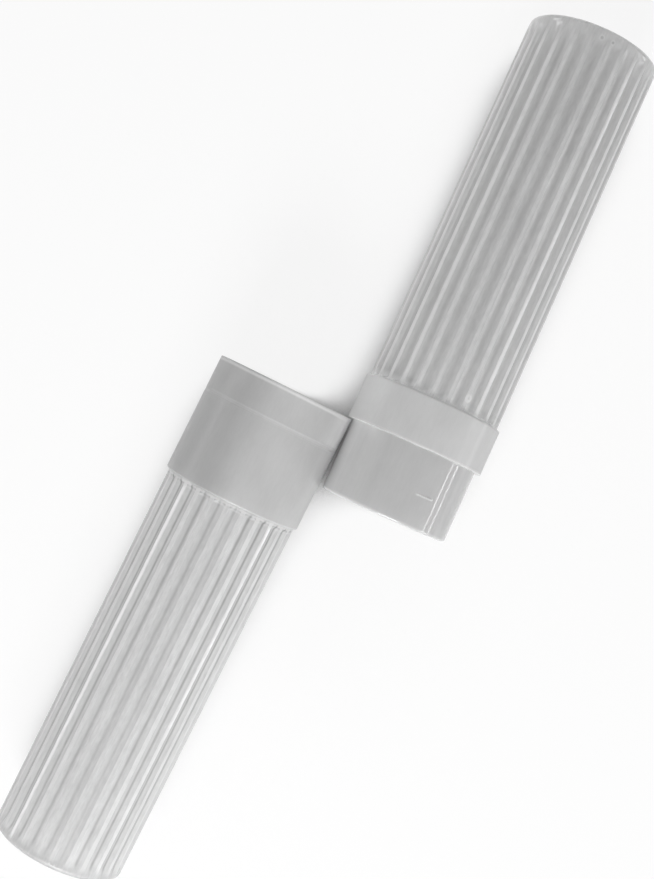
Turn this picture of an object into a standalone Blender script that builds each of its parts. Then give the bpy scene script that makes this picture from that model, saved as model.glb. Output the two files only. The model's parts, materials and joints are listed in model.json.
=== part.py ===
"""Two-part travel tube for one toothbrush, in milky plastic, with its cap taken off.

Both halves lie on the floor beside each other. Each rests on its collar and on the edge of
its closed end. The base's mouth points to +Y, and the cap's neck points back to -Y.
Metres, +Z up. Along each half, local Z runs from the closed end to the open end.
"""

import math

import bmesh
import bpy
from mathutils import Vector

# Fluted tubes, alike on both halves
TUBE_LENGTH = 0.0897
TUBE_RADIUS = 0.0158
END_RADIUS = 0.01555
WALL = 0.0012
END_WALL = 0.0015
END_ROUND = 0.0012
BORE_ROUND = 0.0008
RIB_COUNT = 26
FLUTE_DEPTH = 0.0005
FLUTE_RUNOUT = 0.0008
END_BAND = 0.0016
COLLAR_BAND = 0.0006

# Collars, the socket inside the base's collar, and the cap's neck that pushes into it
COLLAR_RADIUS = 0.01654
COLLAR_EDGE = 0.00025
BASE_COLLAR_LENGTH = 0.0282
CAP_COLLAR_LENGTH = 0.0109
NECK_LENGTH = 0.0173
NECK_ROUND = 0.0006
SOCKET_CLEARANCE = 0.00015

# Snap bead round the socket, and the nibs on the neck that pass it
BEAD_DEPTH = 0.0082
BEAD_HEIGHT = 0.0002
BEAD_WIDTH = 0.0010
NIB_PLAY = 0.0014
NIB_CLEARANCE = 0.00003
NIB_WIDTH = 0.0006
NIB_SPAN = math.radians(17)
NIB_TURN = math.radians(23)
NIB_COUNT = 2

# How the cap lies beside the base
CAP_SWING = math.radians(2.25)
LYING_GAP = 0.0003

# Roundness of the turned shapes, and the sides by which the base's ribs are turned on
STEPS_PER_RIB = 3
BASE_SIDES_TURNED = -1
ROUND_STEPS = 3
MERGE = 0.00001
SHARP_ANGLE = math.radians(35)

# Milky polypropylene
PLASTIC_COLOUR = (0.80, 0.80, 0.80, 1.0)
PLASTIC_ROUGHNESS = 0.32
PLASTIC_TRANSMISSION = 0.5
PLASTIC_IOR = 1.49

SOCKET_RADIUS = COLLAR_RADIUS - WALL
NECK_RADIUS = SOCKET_RADIUS - SOCKET_CLEARANCE
NIB_RADIUS = SOCKET_RADIUS - NIB_CLEARANCE
SOCKET_FLOOR = TUBE_LENGTH + WALL
BASE_LENGTH = TUBE_LENGTH + BASE_COLLAR_LENGTH
SHOULDER = TUBE_LENGTH + CAP_COLLAR_LENGTH
CAP_LENGTH = SHOULDER + NECK_LENGTH
TURN_STEPS = RIB_COUNT * STEPS_PER_RIB


def clear_scene():
    for item in list(bpy.data.objects):
        bpy.data.objects.remove(item, do_unlink=True)


def milky_plastic(name):
    """The see-through milky plastic that both halves are moulded in."""
    material = bpy.data.materials.new(name)
    material.use_nodes = True
    shader = material.node_tree.nodes["Principled BSDF"]
    shader.inputs["Base Color"].default_value = PLASTIC_COLOUR
    shader.inputs["Roughness"].default_value = PLASTIC_ROUGHNESS
    shader.inputs["Metallic"].default_value = 0.0
    shader.inputs["Transmission Weight"].default_value = PLASTIC_TRANSMISSION
    shader.inputs["IOR"].default_value = PLASTIC_IOR
    return material


def ribbed_radius(height):
    """Radius over the ribs, which narrows evenly from the collar to the closed end."""
    return END_RADIUS + (TUBE_RADIUS - END_RADIUS) * height / TUBE_LENGTH


def bore_radius(height):
    """Radius of the tube's bore, a wall's thickness inside the bottom of the flutes."""
    return ribbed_radius(height) - FLUTE_DEPTH - WALL


def arc(centre_radius, centre_height, radius, start, stop):
    """Points (radius, height) along a quarter round in a turned profile, ends included."""
    points = []
    for step in range(ROUND_STEPS + 1):
        angle = start + (stop - start) * step / ROUND_STEPS
        points.append(
            (centre_radius + radius * math.cos(angle), centre_height + radius * math.sin(angle))
        )
    return points


def bore_floor():
    """Inside of a closed end, from its middle out to the foot of the bore."""
    foot = END_WALL + BORE_ROUND
    middle = bore_radius(foot) - BORE_ROUND
    return [(0.0, END_WALL)] + arc(middle, foot, BORE_ROUND, -math.pi / 2, 0.0)


def fluted_outside():
    """Outside of a tube, from the collar's face down to the middle of the closed end."""
    heights = [TUBE_LENGTH, flutes_top(), flutes_top() - FLUTE_RUNOUT, END_BAND + FLUTE_RUNOUT, END_BAND]
    side = [(ribbed_radius(height), height) for height in heights]
    corner = arc(ribbed_radius(END_ROUND) - END_ROUND, END_ROUND, END_ROUND, 0.0, -math.pi / 2)
    return side + corner + [(0.0, 0.0)]


def flutes_top():
    """Height at which the flutes die out, just below the collar."""
    return TUBE_LENGTH - COLLAR_BAND


def collar_outside(top, bottom):
    """Outside of a collar from its top edge down to its lower edge, which is eased."""
    return [
        (COLLAR_RADIUS, top),
        (COLLAR_RADIUS, bottom + COLLAR_EDGE),
        (COLLAR_RADIUS - COLLAR_EDGE, bottom),
    ]


def base_profile():
    """Half section of the base: up the bore and socket, over the rim, down the outside."""
    bead = BASE_LENGTH - BEAD_DEPTH
    socket = [
        (bore_radius(TUBE_LENGTH), SOCKET_FLOOR),
        (SOCKET_RADIUS, SOCKET_FLOOR),
        (SOCKET_RADIUS, bead - BEAD_WIDTH / 2),
        (SOCKET_RADIUS - BEAD_HEIGHT, bead),
        (SOCKET_RADIUS, bead + BEAD_WIDTH / 2),
        (SOCKET_RADIUS, BASE_LENGTH),
    ]
    return bore_floor() + socket + collar_outside(BASE_LENGTH, TUBE_LENGTH) + fluted_outside()


def cap_profile():
    """Half section of the cap: up the bore, over the neck's end, down neck, collar and tube."""
    nib = nib_height()
    neck_bore = NECK_RADIUS - WALL
    lead = arc(NECK_RADIUS - NECK_ROUND, CAP_LENGTH - NECK_ROUND, NECK_ROUND, math.pi / 2, 0.0)
    neck = [
        (NECK_RADIUS, nib + NIB_WIDTH / 2),
        (NECK_RADIUS, nib),
        (NECK_RADIUS, nib - NIB_WIDTH / 2),
        (NECK_RADIUS, SHOULDER),
    ]
    mouth = [(neck_bore, SHOULDER), (neck_bore, CAP_LENGTH)]
    return bore_floor() + mouth + lead + neck + collar_outside(SHOULDER, TUBE_LENGTH) + fluted_outside()


def nib_height():
    """Height of the nibs on the cap: just past the bead when the shoulder meets the rim."""
    return SHOULDER + BEAD_DEPTH + NIB_PLAY


def turned(name, profile):
    """Mesh of a profile of (radius, height) points turned once round Z."""
    outline = bpy.data.meshes.new(name + "_profile")
    points = [(radius, 0.0, height) for radius, height in profile]
    edges = [(index, index + 1) for index in range(len(points) - 1)]
    outline.from_pydata(points, edges, [])
    blank = bpy.data.objects.new(name + "_blank", outline)
    bpy.context.scene.collection.objects.link(blank)
    screw = blank.modifiers.new("turn", "SCREW")
    screw.axis = "Z"
    screw.angle = 2 * math.pi
    screw.steps = TURN_STEPS
    screw.render_steps = TURN_STEPS
    screw.use_merge_vertices = True
    screw.merge_threshold = MERGE
    depsgraph = bpy.context.evaluated_depsgraph_get()
    mesh = bpy.data.meshes.new_from_object(blank.evaluated_get(depsgraph))
    mesh.name = name
    bpy.data.objects.remove(blank, do_unlink=True)
    bpy.data.meshes.remove(outline)
    return mesh


def cut_flutes(mesh, sides_turned=0):
    """Draws the wall in between the ribs. A rib's crest stays at full radius."""
    pitch = 2 * math.pi / RIB_COUNT
    first_crest = sides_turned * pitch / STEPS_PER_RIB
    low = END_BAND + FLUTE_RUNOUT - MERGE
    high = flutes_top() - FLUTE_RUNOUT + MERGE
    for vertex in mesh.vertices:
        x, y, height = vertex.co
        radius = math.hypot(x, y)
        outside = radius > bore_radius(height) + WALL
        if not outside or not low < height < high:
            continue
        # Goes from -1 on one crest through 0 at the flute's middle to 1 on the next crest
        across = 2 * (((math.atan2(y, x) - first_crest) / pitch) % 1.0) - 1
        drawn = radius - FLUTE_DEPTH * (1 - across * across)
        vertex.co = (x * drawn / radius, y * drawn / radius, height)


def raise_nibs(mesh):
    """Lifts the nibs on the neck out to the radius at which they ride in the socket."""
    for vertex in mesh.vertices:
        x, y, height = vertex.co
        radius = math.hypot(x, y)
        if abs(height - nib_height()) > MERGE or radius < NECK_RADIUS - MERGE:
            continue
        for nib in range(NIB_COUNT):
            middle = math.pi / 2 - NIB_TURN + nib * 2 * math.pi / NIB_COUNT
            away = (math.atan2(y, x) - middle + math.pi) % (2 * math.pi) - math.pi
            if abs(away) <= NIB_SPAN / 2:
                vertex.co = (x * NIB_RADIUS / radius, y * NIB_RADIUS / radius, height)


def finish_piece(name, mesh, material, collection):
    """Shades the mesh, gives it its material and puts it in the holder's collection."""
    cleaner = bmesh.new()
    cleaner.from_mesh(mesh)
    bmesh.ops.remove_doubles(cleaner, verts=cleaner.verts, dist=MERGE)
    cleaner.to_mesh(mesh)
    cleaner.free()
    mesh.shade_smooth()
    mesh.set_sharp_from_angle(angle=SHARP_ANGLE)
    mesh.materials.append(material)
    piece = bpy.data.objects.new(name, mesh)
    collection.objects.link(piece)
    return piece


def lying_tilt():
    """Slope of a half that rests on its collar's lower edge and on its closed end's edge."""
    rise = COLLAR_RADIUS - ribbed_radius(END_ROUND)
    return math.atan2(rise, TUBE_LENGTH + COLLAR_EDGE - END_ROUND)


def lay_down(base, cap):
    """Lays the halves side by side. The cap's neck and collar both just clear the base's rim."""
    tilt = lying_tilt()
    lying = -math.pi / 2 + tilt
    end_height = ribbed_radius(END_ROUND) * math.cos(tilt) - END_ROUND * math.sin(tilt)
    base.location = (0.0, 0.0, end_height)
    base.rotation_euler = (lying, 0.0, 0.0)
    lead = LYING_GAP + COLLAR_RADIUS * math.sin(CAP_SWING)
    aside = NECK_RADIUS + LYING_GAP - lead * math.sin(CAP_SWING)
    shoulder_x = COLLAR_RADIUS + aside / math.cos(CAP_SWING)
    shoulder_y = BASE_LENGTH * math.cos(tilt) + lead
    reach = SHOULDER * math.cos(tilt)
    cap.location = (
        shoulder_x - reach * math.sin(CAP_SWING),
        shoulder_y + reach * math.cos(CAP_SWING),
        end_height,
    )
    cap.rotation_euler = (lying, 0.0, math.pi + CAP_SWING)


def stand_on_origin(carrier, pieces):
    """Moves the pair so that the origin is under the middle of its box, on the floor."""
    bpy.context.view_layer.update()
    points = [piece.matrix_world @ vertex.co for piece in pieces for vertex in piece.data.vertices]
    low = Vector([min(point[axis] for point in points) for axis in range(3)])
    high = Vector([max(point[axis] for point in points) for axis in range(3)])
    middle = (low + high) / 2
    carrier.location = (-middle.x, -middle.y, -low.z)
    bpy.context.view_layer.update()


def build():
    clear_scene()
    collection = bpy.data.collections.new("toothbrush_holder")
    bpy.context.scene.collection.children.link(collection)

    base_mesh = turned("base_tube", base_profile())
    cut_flutes(base_mesh, BASE_SIDES_TURNED)
    base = finish_piece("base_tube", base_mesh, milky_plastic("base_plastic"), collection)

    cap_mesh = turned("cap_tube", cap_profile())
    cut_flutes(cap_mesh)
    raise_nibs(cap_mesh)
    cap = finish_piece("cap_tube", cap_mesh, milky_plastic("cap_plastic"), collection)

    carrier = bpy.data.objects.new("lying_place", None)
    collection.objects.link(carrier)
    for piece in (base, cap):
        piece.parent = carrier
    lay_down(base, cap)
    stand_on_origin(carrier, (base, cap))


build()
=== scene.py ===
import json
import math

import bmesh
import bpy
from mathutils import Matrix, Vector


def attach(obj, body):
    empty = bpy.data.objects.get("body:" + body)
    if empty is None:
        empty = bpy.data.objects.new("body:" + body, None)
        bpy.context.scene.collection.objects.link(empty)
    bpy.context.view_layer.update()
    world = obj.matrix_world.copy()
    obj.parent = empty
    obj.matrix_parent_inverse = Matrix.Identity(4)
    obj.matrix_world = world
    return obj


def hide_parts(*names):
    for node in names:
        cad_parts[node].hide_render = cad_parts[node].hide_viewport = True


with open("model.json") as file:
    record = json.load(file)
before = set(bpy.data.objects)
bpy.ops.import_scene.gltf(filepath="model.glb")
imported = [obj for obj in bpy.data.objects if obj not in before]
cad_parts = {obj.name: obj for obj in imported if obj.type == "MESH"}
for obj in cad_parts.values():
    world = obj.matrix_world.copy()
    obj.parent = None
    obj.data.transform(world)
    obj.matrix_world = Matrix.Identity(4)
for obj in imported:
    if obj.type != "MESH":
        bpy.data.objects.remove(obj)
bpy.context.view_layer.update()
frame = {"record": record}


# The base is the lower half of the travel tube: one moulding in milky see-through polypropylene,
# drawn off a core, with a flat closed end, narrow ribs between shallow flutes, and a plain wider
# collar whose socket takes the cap's neck. A low snap bead runs round inside the socket.
TUBE_LENGTH = 0.0897
CREST_AT_COLLAR = 0.0158
CREST_AT_END = 0.01555
WALL = 0.0012
END_WALL = 0.0015
END_ROUND = 0.0012
BORE_ROUND = 0.0008
COLLAR_RADIUS = 0.01654
COLLAR_EDGE = 0.00035
RIM_EDGE = 0.00025
BASE_COLLAR_LENGTH = 0.0282
SOCKET_CLEARANCE = 0.00015
BEAD_DEPTH = 0.0082
BEAD_HEIGHT = 0.0002
BEAD_WIDTH = 0.0010
BASE_TOP = TUBE_LENGTH + BASE_COLLAR_LENGTH
BASE_BEAD = BASE_TOP - BEAD_DEPTH
# Over the bead the outside of the collar sinks a little as the thicker wall cools
SINK_DEPTH = 0.00005
SINK_WIDTH = 0.0007

# The solids have 78 flat sides, so the smooth surface here is turned to touch the flats
SOLID_SIDES = 78
ON_FLATS = math.cos(math.pi / SOLID_SIDES)

# A rib's plain crest takes this share of the pitch, and the hollow flute takes the rest
RIB_COUNT = 26
RIB_SHARE = 0.25
COLUMNS_PER_RIB = 24
FLUTE_DEPTH = 0.0005
BASE_FIRST_CREST = -2 * math.pi / SOLID_SIDES
BASE_FLUTE_END = 0.0008
END_BAND = 0.0012
END_FADE = 0.0030
COLLAR_BAND = 0.0007
RINGS_ALONG = 24
RINGS_IN_FLUTE_END = 10
ROUND_RINGS = 6
RIM_RINGS = 4
COLLAR_FOOT_RINGS = 5
BEAD_STEPS = 8
EDGE_HOLD = 0.0003
MERGE = 0.000001
SHARP_ANGLE = math.radians(40)


def laid_from(mount_name):
    """Turns and moves a half from upright on its closed end to where that end lies."""
    end = next(mount for mount in frame["record"]["mounts"] if mount["name"] == mount_name)
    along = -Vector(end["axis"]).normalized()
    aside = along.cross(Vector((0, 0, 1))).normalized()
    under = along.cross(aside)
    turn = Matrix((aside, under, along)).transposed()
    return Matrix.Translation(end["pos_m"]) @ turn.to_4x4()


def crest_radius(height):
    return CREST_AT_END + (CREST_AT_COLLAR - CREST_AT_END) * height / TUBE_LENGTH


def bore_radius(height):
    return crest_radius(height) - FLUTE_DEPTH - WALL


def round_corner(radius, height, size, start, stop, rings=ROUND_RINGS):
    """Points along a rounded corner of a turned outline, about its own centre."""
    points = []
    for ring in range(rings + 1):
        angle = math.radians(start + (stop - start) * ring / rings)
        points.append((radius + size * math.cos(angle), height + size * math.sin(angle)))
    return points


def even_heights(start, stop, count):
    return [start + (stop - start) * step / count for step in range(count + 1)]


def bore_outline():
    foot = END_WALL + BORE_ROUND
    middle = bore_radius(foot) - BORE_ROUND
    return [(0, END_WALL), (middle / 2, END_WALL)] + round_corner(middle, foot, BORE_ROUND, -90, 0)


def fluted_outline(flute_end, collar_band):
    """Outside of a tube from just under its collar to the middle of its closed end."""
    top = TUBE_LENGTH - collar_band
    heights = [TUBE_LENGTH]
    heights += even_heights(top, top - flute_end, RINGS_IN_FLUTE_END)
    heights += even_heights(top - flute_end, END_BAND + END_FADE, RINGS_ALONG)[1:-1]
    heights += even_heights(END_BAND + END_FADE, END_BAND, RINGS_IN_FLUTE_END)
    side = [(crest_radius(height), height) for height in heights]
    corner = round_corner(crest_radius(END_ROUND) - END_ROUND, END_ROUND, END_ROUND, 0, -90)
    return side + corner + [(CREST_AT_END / 2, 0), (0, 0)]


def collar_outline(top, bottom, side=()):
    """Outside of a collar from its rim to its foot, both eased, with rings that hold the edges."""
    rim = round_corner(COLLAR_RADIUS - RIM_EDGE, top - RIM_EDGE, RIM_EDGE, 90, 0, RIM_RINGS)
    foot_middle = COLLAR_RADIUS - COLLAR_EDGE, bottom + COLLAR_EDGE
    foot = round_corner(*foot_middle, COLLAR_EDGE, 0, -90, COLLAR_FOOT_RINGS)
    rim.append((COLLAR_RADIUS, top - RIM_EDGE - EDGE_HOLD))
    foot.insert(0, (COLLAR_RADIUS, bottom + COLLAR_EDGE + EDGE_HOLD))
    return rim + list(side) + foot


def turned_mesh(outline):
    """Turns an outline of (radius, height) points through one rib's share, and repeats it all round."""
    shape = bmesh.new()
    chain = [shape.verts.new((radius * ON_FLATS, 0, height)) for radius, height in outline]
    edges = [shape.edges.new(pair) for pair in zip(chain, chain[1:])]
    share = 2 * math.pi / RIB_COUNT
    bmesh.ops.spin(
        shape, geom=chain + edges, cent=(0, 0, 0), axis=(0, 0, 1), angle=share, steps=COLUMNS_PER_RIB
    )
    bmesh.ops.spin(
        shape, geom=shape.verts[:] + shape.edges[:] + shape.faces[:], cent=(0, 0, 0), axis=(0, 0, 1),
        angle=2 * math.pi - share, steps=RIB_COUNT - 1, use_duplicate=True,
    )
    bmesh.ops.remove_doubles(shape, verts=shape.verts, dist=MERGE)
    bmesh.ops.dissolve_degenerate(shape, edges=shape.edges, dist=MERGE)
    bmesh.ops.recalc_face_normals(shape, faces=shape.faces)
    return shape


def sink_flutes(shape, first_crest, flute_end, collar_band):
    """Sinks the flutes between the ribs, which stop at the collar and fade out at the closed end."""
    low, high = END_BAND, TUBE_LENGTH - collar_band
    for vert in shape.verts:
        x, y, height = vert.co
        radius = math.hypot(x, y)
        if not low < height < high or radius < bore_radius(height) + WALL:
            continue
        pitch = ((math.atan2(y, x) - first_crest) * RIB_COUNT / (2 * math.pi)) % 1
        across = (2 * pitch - 1) / (1 - RIB_SHARE)
        along = max(0, 1 - (high - height) / flute_end)
        fade = min(1, (height - low) / END_FADE)
        depth = FLUTE_DEPTH * fade ** 2 * (3 - 2 * fade) * max(0, 1 - across ** 2 - along ** 2)
        vert.co.x *= 1 - depth / radius
        vert.co.y *= 1 - depth / radius


def finished_piece(name, shape, place, body, node, material):
    shape.transform(place)
    mesh = bpy.data.meshes.new(name)
    shape.to_mesh(mesh)
    shape.free()
    mesh.shade_smooth()
    mesh.set_sharp_from_angle(angle=SHARP_ANGLE)
    piece = bpy.data.objects.new(name, mesh)
    bpy.context.scene.collection.objects.link(piece)
    mesh.materials.append(material)
    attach(piece, body)
    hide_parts(node)
    return piece


def worked(tree, operation, *terms):
    """One sum in a material. A term is a number or another node's output."""
    node = tree.nodes.new("ShaderNodeMath")
    node.operation = operation
    for socket, term in zip(node.inputs, terms):
        if isinstance(term, (int, float)):
            socket.default_value = term
        else:
            tree.links.new(term, socket)
    return node.outputs[0]


def eased(tree, value, low, high, at_low, at_high):
    """Goes smoothly from one number to another as a value goes from low to high."""
    node = tree.nodes.new("ShaderNodeMapRange")
    node.interpolation_type = "SMOOTHSTEP"
    tree.links.new(value, node.inputs["Value"])
    for socket, number in zip(node.inputs[1:5], (low, high, at_low, at_high)):
        socket.default_value = number
    return node.outputs[0]


def between(tree, share, at_none, at_full):
    """Goes evenly from one number to another as a share goes from 0 to 1."""
    return worked(tree, "MULTIPLY_ADD", share, at_full - at_none, at_none)


def times(tree, first, *others):
    for other in others:
        first = worked(tree, "MULTIPLY", first, other)
    return first


# A tone or a finish that stops at an edge changes over this length
EDGE_STEP = 0.0002


def past(tree, height, edge):
    """0 below an edge and 1 above it, in a short soft step that ends there."""
    return eased(tree, height, edge - EDGE_STEP, edge, 0.0, 1.0)


def mottle(tree, where, size, stretch):
    """Soft noise about 0.5, with blotches of a given size, drawn out along the tube by stretch."""
    drawn = tree.nodes.new("ShaderNodeMapping")
    drawn.inputs["Scale"].default_value = (1, 1, 1 / stretch)
    tree.links.new(where, drawn.inputs["Vector"])
    noise = tree.nodes.new("ShaderNodeTexNoise")
    noise.inputs["Scale"].default_value = 1 / size
    noise.inputs["Detail"].default_value = 2
    tree.links.new(drawn.outputs[0], noise.inputs["Vector"])
    return noise.outputs[0]


def around(place, width, from_top, height):
    """A point on a half's skin, given by its angle from the top, to the right as seen, and its height."""
    right = place.to_3x3().inverted() @ Vector((1, 0, 0))
    side = width * math.sin(from_top) * (1 if right.x > 0 else -1)
    return side, -width * math.cos(from_top), height


def own_place(tree, place):
    """Where a point is in the half's own frame, whose Z runs up the tube from the closed end."""
    coordinates = tree.nodes.new("ShaderNodeTexCoord")
    own = tree.nodes.new("ShaderNodeMapping")
    own.vector_type = "TEXTURE"
    own.inputs["Location"].default_value = place.to_translation()
    own.inputs["Rotation"].default_value = place.to_euler()
    tree.links.new(coordinates.outputs["Object"], own.inputs["Vector"])
    return own.outputs[0]


# Places across a rib are shares of the ribs' pitch, counted from a crest
RIB_SOFTNESS = 0.25
PAINTED_EDGE_HIGHLIGHT_WIDTH = 0.030
FLUTE_FROM = RIB_SHARE * 0.45
FLUTE_ALL = RIB_SHARE * 0.60
# The ribs' painted light and shade is weaker on top than on the flanks, and changes in strength along the
# tube
TOP_HALF_WIDTH = 0.002
FLANK_FROM = 0.010
RIBS_PAINTED_ON_TOP = 0.52
RIBS_PAINTED_ON_FLANK = 1.26
RIBS_CHANGE_FROM = 0.01
RIBS_AT_COLLAR = 1.10


def rib_tone_and_painted_light(tree, x, from_crest, height, flute_end, look):
    """Ribs are thick and so milky and pale, partly in painted light, and the flutes' thin middles are
    darker in painted shade.

    The look says how pale a crest is and how wide its pale core, how pale the painted highlight on a rib's
    edge, how dark a flute and from where, and how strong and how long the fade is at the end.
    """
    core = look["rib_core"]
    rib_light = look["rib_light"]
    on_rib = eased(tree, from_crest, RIB_SHARE * core, RIB_SHARE * (core + RIB_SOFTNESS), rib_light, 0.0)
    # A painted highlight along each rib's edge
    edge_away = worked(tree, "ABSOLUTE", worked(tree, "SUBTRACT", from_crest, RIB_SHARE / 2))
    painted_edge_highlight = eased(tree, edge_away, 0.0, PAINTED_EDGE_HIGHLIGHT_WIDTH, rib_light * look["edge_light"], 0.0)
    in_flute = eased(tree, from_crest, look["dark_from"], 0.5, 0.0, -look["flute_dark"])
    lines = worked(tree, "ADD", worked(tree, "ADD", on_rib, painted_edge_highlight), in_flute)

    above_end = eased(tree, height, END_BAND, END_BAND + look["end_fade"], 0.0, 1.0)
    below_collar = eased(tree, height, TUBE_LENGTH - flute_end, TUBE_LENGTH, 1.0, 0.0)
    # Painted light and shade: the ribs show stronger near the collar and on the flanks than on top
    deeper = eased(tree, height, RIBS_CHANGE_FROM, TUBE_LENGTH, look["at_end"], RIBS_AT_COLLAR)
    aside = worked(tree, "ABSOLUTE", x)
    painted_light_by_side = eased(tree, aside, TOP_HALF_WIDTH, FLANK_FROM, RIBS_PAINTED_ON_TOP, RIBS_PAINTED_ON_FLANK)
    return worked(tree, "MULTIPLY_ADD", lines, times(tree, above_end, below_collar, deeper, painted_light_by_side), 1.0)


def painted_flute_top_light(tree, x, y, from_crest, height, look):
    """Painted light on the flutes' tops beside the cap's collar, against the collar's shadow, and painted
    shade on the base's.
    """
    reach_down, reach_up, flute_top, tone = look["painted_flute_tops"]
    near_top = eased(tree, height, reach_down, reach_up, 0.0, tone)
    flute_only = eased(tree, from_crest, FLUTE_FROM, FLUTE_ALL, 0.0, 1.0)
    above_flute = past(tree, height, flute_top + EDGE_STEP / 2)
    below_top = worked(tree, "SUBTRACT", 1.0, above_flute)
    from_axis = worked(tree, "SQRT", worked(tree, "MULTIPLY_ADD", x, x, times(tree, y, y)))
    outside = eased(tree, from_axis, CREST_AT_END - WALL, CREST_AT_END - WALL / 2, 0.0, 1.0)
    return times(tree, near_top, flute_only, below_top, outside)


def tone_and_painted_light_along(tree, height, tones_and_painted_light):
    """The wall's tone with painted light and shade along the tube, from a list of (height, grey) pairs."""
    ramp = tree.nodes.new("ShaderNodeValToRGB")
    reach = tones_and_painted_light[-1][0]
    tree.links.new(worked(tree, "DIVIDE", height, reach), ramp.inputs[0])
    stops = ramp.color_ramp.elements
    while len(stops) < len(tones_and_painted_light):
        stops.new(0.5)
    for stop, (at, grey) in zip(stops, tones_and_painted_light):
        stop.position = at / reach
        stop.color = (grey, grey, grey, 1)
    return ramp.outputs[0]


# Blotches in the plastic, as (size, how far drawn out along the tube)
STREAKS = (0.0016, 40)
HAZE = (0.006, 1.5)
GRAIN = (0.0005, 4)
SCUFFS = (0.0007, 12)
STREAKS_ON_TUBE, STREAKS_ON_COLLAR = 0.24, 0.07
GRAIN_ON_TUBE, GRAIN_ON_COLLAR = 0.32, 0.09
HAZE_STRENGTH = 0.14
PALEST = 0.98

SCUFFS_FROM, SCUFFS_TO = 0.45, 0.75
ROUGHNESS_AT_LEAST = 0.28
HAZE_ROUGHNESS = 0.14
SATIN_ROUGHNESS = 0.06
SCUFF_ROUGHNESS = 0.12
COAT_ON_POLISH, COAT_ON_SATIN = 0.8, 0.05
END_SATIN_FROM, END_SATIN_TO = 0.0008, 0.0016
BUMP_DEPTH = 0.00004
BUMP_ON_NECK = 0.25


def milky_plastic(name, place, first_crest, flute_end, look):
    """Milky polypropylene with streaks that the melt leaves along the tube, satin or polished, with
    painted light and shade in its colour.
    """
    material = bpy.data.materials.new(name)
    material.use_nodes = True
    tree = material.node_tree
    shader = tree.nodes["Principled BSDF"]
    shader.inputs["IOR"].default_value = 1.49
    shader.inputs["Transmission Weight"].default_value = 0.4
    shader.inputs["Coat Roughness"].default_value = 0.06
    shader.inputs["Coat IOR"].default_value = 1.6

    own = own_place(tree, place)
    parts = tree.nodes.new("ShaderNodeSeparateXYZ")
    tree.links.new(own, parts.inputs[0])
    x, y, height = parts.outputs
    round_tube = worked(tree, "SUBTRACT", worked(tree, "ARCTAN2", y, x), first_crest)
    from_crest = worked(tree, "PINGPONG", times(tree, round_tube, RIB_COUNT / (2 * math.pi)), 0.5)

    ribs_and_painted_light = rib_tone_and_painted_light(tree, x, from_crest, height, flute_end, look)
    ribs_and_painted_light = worked(tree, "ADD", ribs_and_painted_light, painted_flute_top_light(tree, x, y, from_crest, height, look))
    # Painted light and shade to one side or the other
    for from_height, left, right, at_left, at_right in look["painted_side_light"]:
        side = eased(tree, x, left, right, at_left, at_right)
        ribs_and_painted_light = worked(tree, "MULTIPLY_ADD", side, past(tree, height, from_height), ribs_and_painted_light)

    blotches = STREAKS, HAZE, GRAIN, SCUFFS
    streaks, haze, grain, scuffs = (mottle(tree, own, size, stretch) for size, stretch in blotches)
    on_collar = past(tree, height, TUBE_LENGTH)
    shade = 1.0
    for pattern, strength in (
        (streaks, between(tree, on_collar, STREAKS_ON_TUBE, STREAKS_ON_COLLAR)),
        (haze, HAZE_STRENGTH),
        (grain, between(tree, on_collar, GRAIN_ON_TUBE, GRAIN_ON_COLLAR)),
    ):
        shade = worked(tree, "MULTIPLY_ADD", worked(tree, "SUBTRACT", pattern, 0.5), strength, shade)
    # Specks, and painted shade and highlights for the pits, the glint and the nib
    for spot, size, tone in look["specks_and_painted_light"]:
        gap = tree.nodes.new("ShaderNodeVectorMath")
        gap.operation = "DISTANCE"
        gap.inputs[1].default_value = spot
        tree.links.new(own, gap.inputs[0])
        shade = worked(tree, "ADD", shade, eased(tree, gap.outputs["Value"], size / 2, size, tone, 0.0))
    tone = times(tree, shade, ribs_and_painted_light, tone_and_painted_light_along(tree, height, look["tones_and_painted_light"]))
    tree.links.new(worked(tree, "MINIMUM", tone, PALEST), shader.inputs["Base Color"])

    # The collar and the closed end are etched satin, and the ribs and the neck are polished
    satin_from, satin_to = look["satin"]
    below_neck = worked(tree, "SUBTRACT", 1.0, past(tree, height, satin_to + EDGE_STEP / 2))
    etched = times(tree, past(tree, height, satin_from + EDGE_STEP / 2), below_neck)
    at_end = eased(tree, height, END_SATIN_FROM, END_SATIN_TO, look["end_satin"], 0.0)
    etched = worked(tree, "MAXIMUM", etched, at_end)
    tree.links.new(between(tree, etched, COAT_ON_POLISH, COAT_ON_SATIN), shader.inputs["Coat Weight"])
    roughness = worked(tree, "MULTIPLY_ADD", haze, HAZE_ROUGHNESS, ROUGHNESS_AT_LEAST)
    roughness = worked(tree, "MULTIPLY_ADD", etched, SATIN_ROUGHNESS, roughness)
    worn = eased(tree, scuffs, SCUFFS_FROM, SCUFFS_TO, 0.0, SCUFF_ROUGHNESS)
    tree.links.new(worked(tree, "ADD", roughness, worn), shader.inputs["Roughness"])

    bump = tree.nodes.new("ShaderNodeBump")
    bump.inputs["Strength"].default_value = 0.5
    bump.inputs["Distance"].default_value = BUMP_DEPTH
    uneven = between(tree, below_neck, BUMP_ON_NECK, 1.0)
    tree.links.new(times(tree, worked(tree, "ADD", streaks, haze), uneven), bump.inputs["Height"])
    tree.links.new(bump.outputs[0], shader.inputs["Normal"])
    tree.links.new(bump.outputs[0], shader.inputs["Coat Normal"])
    return material


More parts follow.
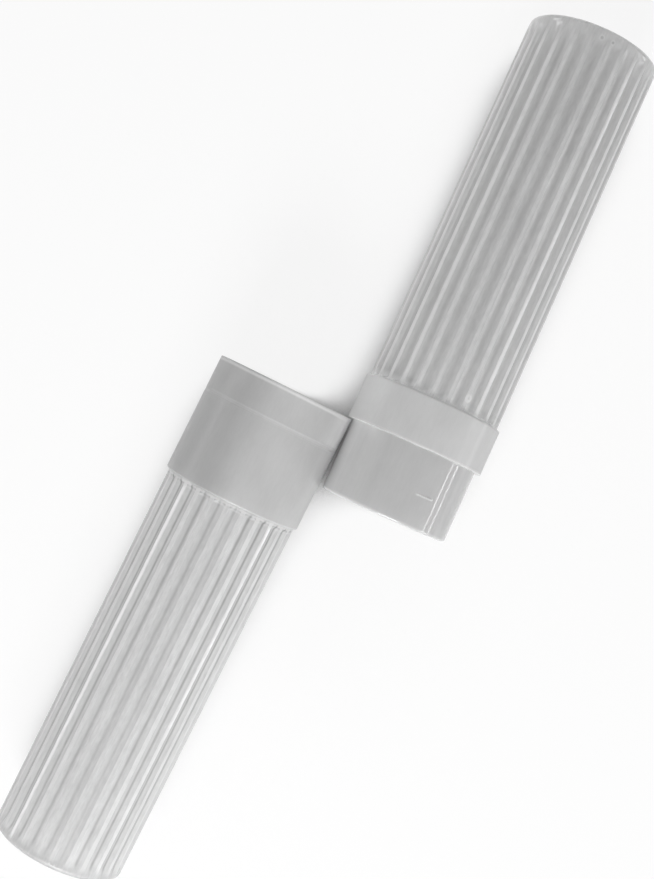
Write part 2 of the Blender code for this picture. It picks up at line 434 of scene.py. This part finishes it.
def base_outline():
    socket = COLLAR_RADIUS - WALL
    socket_floor = TUBE_LENGTH + WALL
    inside = [(bore_radius(TUBE_LENGTH), socket_floor), (socket, socket_floor)]
    sink = [(COLLAR_RADIUS, BASE_BEAD + SINK_WIDTH / 2 + EDGE_HOLD)]
    for step in range(BEAD_STEPS + 1):
        angle = math.pi * step / BEAD_STEPS
        out, up = math.sin(angle), math.cos(angle)
        inside.append((socket - BEAD_HEIGHT * out, BASE_BEAD - BEAD_WIDTH / 2 * up))
        sink.append((COLLAR_RADIUS - SINK_DEPTH * out, BASE_BEAD + SINK_WIDTH / 2 * up))
    sink.append((COLLAR_RADIUS, BASE_BEAD - SINK_WIDTH / 2 - EDGE_HOLD))
    inside.append((socket, BASE_TOP - RIM_EDGE))
    inside.append((socket + RIM_EDGE, BASE_TOP))
    outside = collar_outline(BASE_TOP, TUBE_LENGTH, sink)
    return bore_outline() + inside + outside + fluted_outline(BASE_FLUTE_END, COLLAR_BAND)


BASE_FLUTE_TOP = TUBE_LENGTH - COLLAR_BAND
BASE_POLISH_TOP = BASE_FLUTE_TOP - BASE_FLUTE_END

# From the closed end up: the end and a painted highlight on its rounded edge, the tube, darker in painted
# shade towards the collar, the painted highlight at the collar's foot, the collar, a painted light line
# over the snap bead, and the painted highlight along the rim
BASE_TONES_AND_PAINTED_LIGHT = (
    (0.0, 0.60), (0.0004, 0.60), (0.0007, 0.80), (0.0010, 0.76), (0.0022, 0.825), (0.0045, 0.82),
    (0.0095, 0.775), (TUBE_LENGTH - 0.0008, 0.757),
    (TUBE_LENGTH - 0.0006, 0.97), (TUBE_LENGTH - 0.0003, 0.95),
    (TUBE_LENGTH, 0.745), (TUBE_LENGTH + 0.0025, 0.705), (BASE_BEAD - 0.0007, 0.684),
    (BASE_BEAD - 0.00052, 0.82), (BASE_BEAD - 0.0002, 0.82),
    (BASE_BEAD, 0.684), (BASE_TOP - 0.0010, 0.675),
    (BASE_TOP - 0.0008, 0.98), (BASE_TOP - 0.0004, 0.98), (BASE_TOP - 0.0002, 0.75),
)
# Painted light and shade across the collar, paler or darker to one side: above a height, from one place
# across to another, and by how much at each
BASE_PAINTED_SIDE_LIGHT = (
    (TUBE_LENGTH, -0.0150, -0.0105, 0.05, 0.0),
    (TUBE_LENGTH, -0.0075, 0.0012, -0.18, 0.05),
    (TUBE_LENGTH, 0.0040, 0.0090, 0.0, -0.045),
    (TUBE_LENGTH, 0.0115, 0.0155, 0.0, 0.13),
    (BASE_TOP - 0.0075, 0.0105, 0.0160, 0.0, 0.22),
)
# Small specks near the closed end: angle from the top, height, size and tone
BASE_SPECKS = (
    (2.3, 0.0013, 0.00030, 0.25),
    (6.6, 0.0013, 0.00030, 0.25),
    (-32.7, 0.0033, 0.00035, 0.25),
    (-45.6, 0.0039, 0.00035, -0.25),
)
base_place = laid_from("base_end")
base_shape = turned_mesh(base_outline())
sink_flutes(base_shape, BASE_FIRST_CREST, BASE_FLUTE_END, COLLAR_BAND)
base_look = {
    "tones_and_painted_light": BASE_TONES_AND_PAINTED_LIGHT,
    "satin": (BASE_POLISH_TOP, BASE_TOP),
    "painted_flute_tops": (BASE_POLISH_TOP + 0.0003, BASE_POLISH_TOP + 0.0006, BASE_FLUTE_TOP, -0.16),
    "painted_side_light": BASE_PAINTED_SIDE_LIGHT,
    "specks_and_painted_light": [
        (around(base_place, CREST_AT_END, math.radians(turn), height), size, tone)
        for turn, height, size, tone in BASE_SPECKS
    ],
    "rib_light": 0.20, "rib_core": 0.36, "edge_light": 0.7, "flute_dark": 0.42, "dark_from": 0.36,
    "at_end": 0.80, "end_satin": 1.0, "end_fade": 0.0030,
}
base_plastic = milky_plastic("milky_base_plastic", base_place, BASE_FIRST_CREST, BASE_FLUTE_END, base_look)
base_tube = finished_piece("base_moulding", base_shape, base_place, "base", "base_tube", base_plastic)


# The cap is the upper half, moulded alike, with a short collar and a plain neck that pushes into
# the base's socket. Two short raised nibs on the neck snap behind the socket's bead.
CAP_COLLAR_LENGTH = 0.0109
CAP_COLLAR_BAND = 0.0002
CAP_FLUTE_END = 0.0004
NECK_LENGTH = 0.0173
NECK_ROUND = 0.0006
NIB_PLAY = 0.0014
NIB_CLEARANCE = 0.00003
NIB_WIDTH = 0.0006
NIB_SPAN = math.radians(17)
NIB_TURN = math.radians(67)
NIB_ANGLES = (NIB_TURN, NIB_TURN - math.pi)
RINGS_ABOVE_NIB, RINGS_ON_NIB, RINGS_BELOW_NIB = 5, 16, 8
NECK_RADIUS = COLLAR_RADIUS - WALL - SOCKET_CLEARANCE
SHOULDER = TUBE_LENGTH + CAP_COLLAR_LENGTH
CAP_TOP = SHOULDER + NECK_LENGTH
NIB_HEIGHT = SHOULDER + BEAD_DEPTH + NIB_PLAY


def cap_outline():
    bore = NECK_RADIUS - WALL
    inside = [(bore, SHOULDER), (bore, CAP_TOP - RIM_EDGE), (bore + RIM_EDGE, CAP_TOP)]
    lead = round_corner(NECK_RADIUS - NECK_ROUND, CAP_TOP - NECK_ROUND, NECK_ROUND, 90, 0)
    above, below = NIB_HEIGHT + NIB_WIDTH, NIB_HEIGHT - NIB_WIDTH
    heights = even_heights(CAP_TOP - NECK_ROUND - EDGE_HOLD, above, RINGS_ABOVE_NIB)
    heights += even_heights(above, below, RINGS_ON_NIB)[1:]
    heights += even_heights(below, SHOULDER, RINGS_BELOW_NIB)[1:]
    side = [(NECK_RADIUS, height) for height in heights]
    outside = collar_outline(SHOULDER, TUBE_LENGTH) + fluted_outline(CAP_FLUTE_END, CAP_COLLAR_BAND)
    return bore_outline() + inside + lead + side + outside


def raise_nibs(shape):
    """Lifts the two short nibs on the neck, rounded over and faded out at their ends."""
    rise = (COLLAR_RADIUS - WALL - NIB_CLEARANCE - NECK_RADIUS) * ON_FLATS
    for vert in shape.verts:
        x, y, height = vert.co
        radius = math.hypot(x, y)
        across = abs(height - NIB_HEIGHT) / (NIB_WIDTH / 2)
        if across >= 1 or radius < (NECK_RADIUS - WALL / 2) * ON_FLATS:
            continue
        for middle in NIB_ANGLES:
            away = abs((math.atan2(y, x) - middle + math.pi) % (2 * math.pi) - math.pi)
            along = away / (NIB_SPAN / 2)
            lift = rise * max(0, 1 - across ** 2 - along ** 8)
            vert.co.x *= 1 + lift / radius
            vert.co.y *= 1 + lift / radius


CAP_FLUTE_TOP = TUBE_LENGTH - CAP_COLLAR_BAND

# From the closed end up: the end and its edge, paler in painted light, the tube with painted shade along
# it, the collar, a painted highlight on its edge, the neck, and a painted highlight at the neck's end
CAP_TONES_AND_PAINTED_LIGHT = (
    (0.0, 0.86), (0.0004, 0.86), (0.0007, 0.98), (0.0010, 0.78), (0.0022, 0.665), (0.012, 0.638),
    (TUBE_LENGTH / 2, 0.672), (TUBE_LENGTH - 0.0002, 0.70),
    (TUBE_LENGTH, 0.756), (SHOULDER - 0.0004, 0.756), (SHOULDER - 0.0002, 0.90),
    (SHOULDER + 0.0001, 0.64), (CAP_TOP - 0.0006, 0.64), (CAP_TOP - 0.0004, 0.85), (CAP_TOP, 0.85),
)
# Painted light and shade across, as on the base, with painted highlight lines on the collar and the neck.
# The collar's painted highlight edge fades to one side.
CAP_PAINTED_SIDE_LIGHT = (
    (0.0003, 0.0112, 0.0150, 0.0, 0.13),
    (TUBE_LENGTH, -0.0125, -0.0020, 0.045, 0.0),
    (TUBE_LENGTH, 0.0085, 0.0145, 0.0, 0.17),
    (TUBE_LENGTH, -0.0128, -0.0121, 0.0, 0.10),
    (TUBE_LENGTH, -0.0119, -0.0112, 0.0, -0.10),
    (SHOULDER - 0.0002, 0.0048, 0.0066, 0.0, -0.16),
    (SHOULDER + 0.0001, 0.0048, 0.0066, 0.0, 0.16),
    (SHOULDER, -0.0125, -0.0020, -0.045, 0.0),
    (SHOULDER, 0.0055, 0.0115, 0.0, 0.27),
    (SHOULDER, 0.0127, 0.0130, 0.0, 0.06),
    (SHOULDER, 0.0135, 0.0138, 0.0, -0.06),
)
# Two small pits near the closed end, painted as a dark middle in painted shade with a pale brim of painted
# highlight, and a round painted glint by the collar: angle from the top, radius, height, the brim's size
# and tone, the middle's size and tone
CAP_PAINTED_PITS_AND_GLINT = (
    (0, CREST_AT_END, 0.0025, 0.00090, 0.14, 0.00055, -0.42),
    (10, CREST_AT_END, 0.0025, 0.00080, 0.14, 0.00045, -0.42),
    (22.3, CREST_AT_COLLAR, 0.0866, 0.00120, 0.34, 0.00050, -0.30),
)
# The light on the nib, in small steps along it
NIB_LIGHT_TURNS = range(16, 32, 2)
NIB_LIGHT_SIZE, NIB_LIGHT_TONE = 0.00055, 0.14

cap_place = laid_from("cap_end")
cap_shape = turned_mesh(cap_outline())
sink_flutes(cap_shape, 0, CAP_FLUTE_END, CAP_COLLAR_BAND)
raise_nibs(cap_shape)
cap_painted_pits_glint_and_nib_light = []
for turn, radius, height, brim, brim_tone, spot, spot_tone in CAP_PAINTED_PITS_AND_GLINT:
    middle = around(cap_place, radius, math.radians(turn), height)
    cap_painted_pits_glint_and_nib_light += [(middle, brim, brim_tone), (middle, spot, spot_tone)]
for turn in NIB_LIGHT_TURNS:
    middle = around(cap_place, NECK_RADIUS, math.radians(turn), NIB_HEIGHT)
    cap_painted_pits_glint_and_nib_light.append((middle, NIB_LIGHT_SIZE, NIB_LIGHT_TONE))
cap_look = {
    "tones_and_painted_light": CAP_TONES_AND_PAINTED_LIGHT,
    "satin": (TUBE_LENGTH, SHOULDER),
    "painted_flute_tops": (TUBE_LENGTH - 0.0021, TUBE_LENGTH - 0.0007, CAP_FLUTE_TOP, 0.32),
    "painted_side_light": CAP_PAINTED_SIDE_LIGHT,
    "specks_and_painted_light": cap_painted_pits_glint_and_nib_light,
    "rib_light": 0.30, "rib_core": 0.26, "edge_light": 1.0, "flute_dark": 0.19, "dark_from": 0.15,
    "at_end": 1.22, "end_satin": 0.5, "end_fade": 0.0088,
}
cap_plastic = milky_plastic("milky_cap_plastic", cap_place, 0, CAP_FLUTE_END, cap_look)
cap_tube = finished_piece("cap_moulding", cap_shape, cap_place, "cap", "cap_tube", cap_plastic)


# A plain pale floor under the two halves, which shows white and keeps a light shadow.
# The slit where the halves lie against each other is darkened further with painted shadow.
FLOOR_SIZE = 1.5
FLOOR_GREY = 0.92
SHOWN_WHITE = 0.85
OPEN_REACH = 0.020
WHITE_FROM, WHITE_TO = 0.42, 0.68
SLIT_FROM, SLIT_TO = 0.42, 0.20
SLIT_PAINTED_SHADOW = 0.80
FAR_FROM, FAR_TO = 0.25, 0.60


def seen_directly(tree):
    """1 for what the camera sees, also by reflection or through plastic, and 0 for light on its way."""
    path = tree.nodes.new("ShaderNodeLightPath")
    seen = path.outputs["Is Camera Ray"]
    for kind in ("Is Glossy Ray", "Is Transmission Ray"):
        seen = worked(tree, "MAXIMUM", seen, path.outputs[kind])
    return seen


floor_mesh = bpy.data.meshes.new("floor")
floor_shape = bmesh.new()
bmesh.ops.create_grid(floor_shape, x_segments=1, y_segments=1, size=FLOOR_SIZE)
floor_shape.to_mesh(floor_mesh)
floor_shape.free()
floor = bpy.data.objects.new("floor", floor_mesh)
bpy.context.scene.collection.objects.link(floor)
floor_material = bpy.data.materials.new("pale_floor")
floor_material.use_nodes = True
floor_tree = floor_material.node_tree
floor_shader = floor_tree.nodes["Principled BSDF"]
floor_shader.inputs["Roughness"].default_value = 0.9
white = floor_tree.nodes.new("ShaderNodeEmission")
white.inputs["Strength"].default_value = 1
mixed = floor_tree.nodes.new("ShaderNodeMixShader")
open_air = floor_tree.nodes.new("ShaderNodeAmbientOcclusion")
open_air.samples = 16
open_air.inputs["Distance"].default_value = OPEN_REACH
openness = open_air.outputs["AO"]
shown = eased(floor_tree, openness, WHITE_FROM, WHITE_TO, 0.0, SHOWN_WHITE)
# Far from the halves the floor is white like the room, so that no horizon shows
floor_place = floor_tree.nodes.new("ShaderNodeTexCoord")
far_off = floor_tree.nodes.new("ShaderNodeVectorMath")
far_off.operation = "LENGTH"
floor_tree.links.new(floor_place.outputs["Object"], far_off.inputs[0])
all_white = eased(floor_tree, far_off.outputs["Value"], FAR_FROM, FAR_TO, 0.0, 1.0)
floor_seen = seen_directly(floor_tree)
white_share = times(floor_tree, floor_seen, worked(floor_tree, "MAXIMUM", shown, all_white))
floor_tree.links.new(white_share, mixed.inputs[0])
# Painted shadow: the floor seen in the slit is darkened in its colour
painted_slit_shadow = eased(floor_tree, openness, SLIT_TO, SLIT_FROM, SLIT_PAINTED_SHADOW, 0.0)
floor_tone = between(floor_tree, times(floor_tree, floor_seen, painted_slit_shadow), FLOOR_GREY, 0.0)
floor_tree.links.new(floor_tone, floor_shader.inputs["Base Color"])
floor_tree.links.new(floor_shader.outputs[0], mixed.inputs[1])
floor_tree.links.new(white.outputs[0], mixed.inputs[2])
floor_tree.links.new(mixed.outputs[0], floor_tree.nodes["Material Output"].inputs["Surface"])
floor_mesh.materials.append(floor_material)

# Soft light from all round, white where it is seen, and lamps on all four sides
ROUND_LIGHT = 0.35
world = bpy.data.worlds.new("studio")
bpy.context.scene.world = world
world.use_nodes = True
sky = world.node_tree.nodes["Background"]
sky.inputs["Color"].default_value = (1, 1, 1, 1)
sky_light = between(world.node_tree, seen_directly(world.node_tree), ROUND_LIGHT, 1.0)
world.node_tree.links.new(sky_light, sky.inputs["Strength"])


def soft_lamp(name, place, size, power):
    data = bpy.data.lights.new(name, "AREA")
    data.shape = "RECTANGLE"
    data.size, data.size_y = size
    data.energy = power
    lamp = bpy.data.objects.new(name, data)
    bpy.context.scene.collection.objects.link(lamp)
    lamp.location = place
    lamp.rotation_euler = (-Vector(place)).to_track_quat("-Z", "Y").to_euler()
    return lamp


soft_lamp("right_low_strip", (0.9, 0, 0.045), (1.1, 0.025), 0.88)
soft_lamp("right_high_strip", (0.9, 0, 0.24), (1.1, 0.025), 0.76)
soft_lamp("left_strip", (-0.9, 0, 0.12), (1.1, 0.14), 1.6)
soft_lamp("near_lamp", (0.1, -0.5, 0.36), (0.3, 0.2), 2.92)
soft_lamp("far_lamp", (0, 0.9, 0.55), (1.0, 0.15), 2.0)

# The camera looks straight down, turned so that the halves lie across the frame
CAMERA_PLACE = (-0.00244, 0.00145, 0.34870)
CAMERA_TURN = math.radians(26.54)
camera_data = bpy.data.cameras.new("camera")
camera = bpy.data.objects.new("camera", camera_data)
bpy.context.scene.collection.objects.link(camera)
bpy.context.scene.camera = camera
camera_data.sensor_fit = "AUTO"
camera_data.sensor_width = 36
camera_data.lens = 59.39
camera.location = CAMERA_PLACE
camera.rotation_euler = (0, 0, CAMERA_TURN)
bpy.context.scene.view_settings.view_transform = "Standard"
